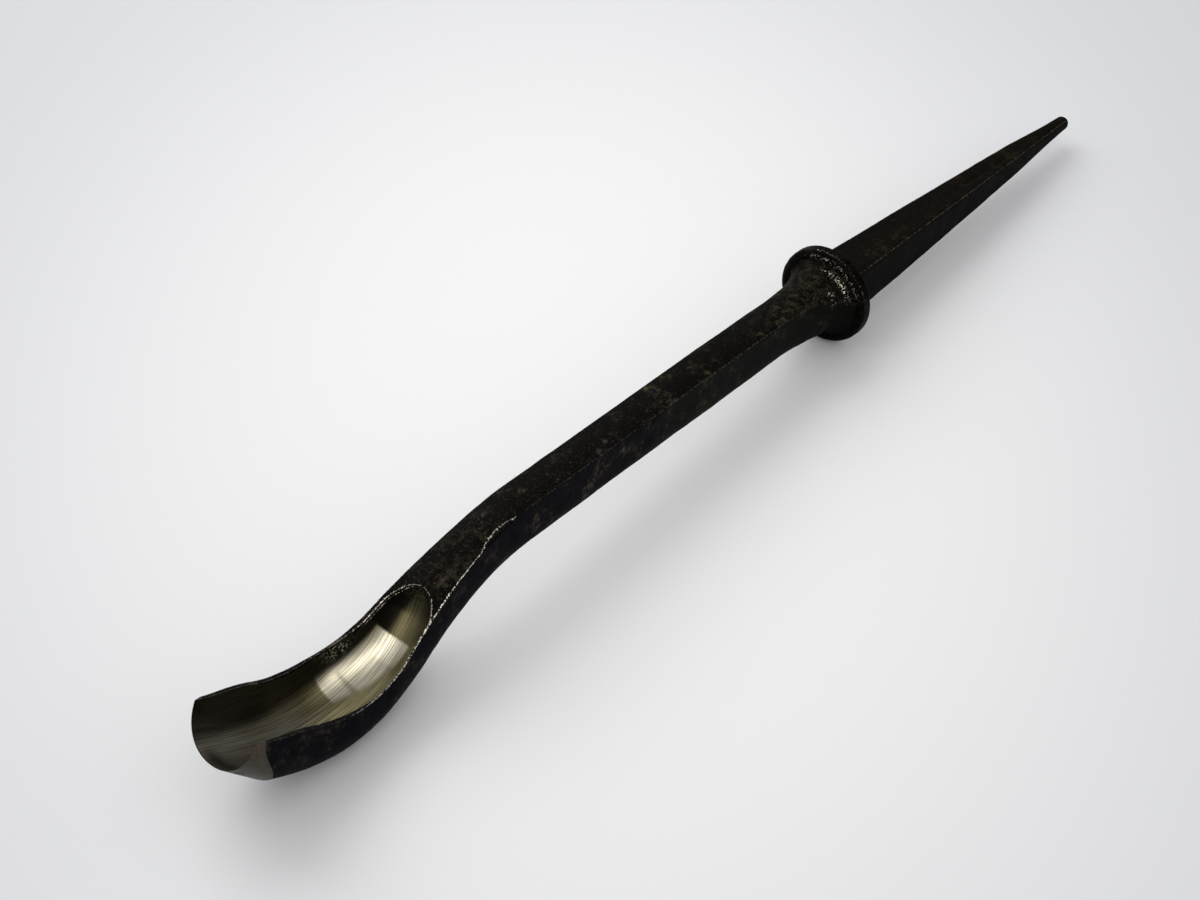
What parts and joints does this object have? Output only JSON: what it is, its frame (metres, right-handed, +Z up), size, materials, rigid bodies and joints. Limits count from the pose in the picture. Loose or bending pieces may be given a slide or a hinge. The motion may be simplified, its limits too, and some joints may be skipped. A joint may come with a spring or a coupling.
{
  "type": "bent carving gouge",
  "caption": "Unhandled spoon-bent carving gouge: hollow ground mouth, forged shank, round bolster and square tapered tang.",
  "frame": {"origin": "on the bench, under the middle of the tool's length and width", "axes": "+Z up with the hollow facing up, +X from the cutting edge to the tip of the tang"},
  "size_m": [0.2042, 0.016, 0.0163],
  "materials": {
    "blade_steel": "black forge scale outside, ground bright in the hollow and on the bevel",
    "shank_iron": "oiled black forge scale with fine pitting",
    "bolster_iron": "glossy black forge scale, rubbed brighter on the rim",
    "tang_iron": "matt black forge scale with hammer marks"
  },
  "bodies": {
    "root": {"blade": "blade_steel", "shank": "shank_iron", "bolster": "bolster_iron", "tang": "tang_iron"}
  },
  "joints": []
}
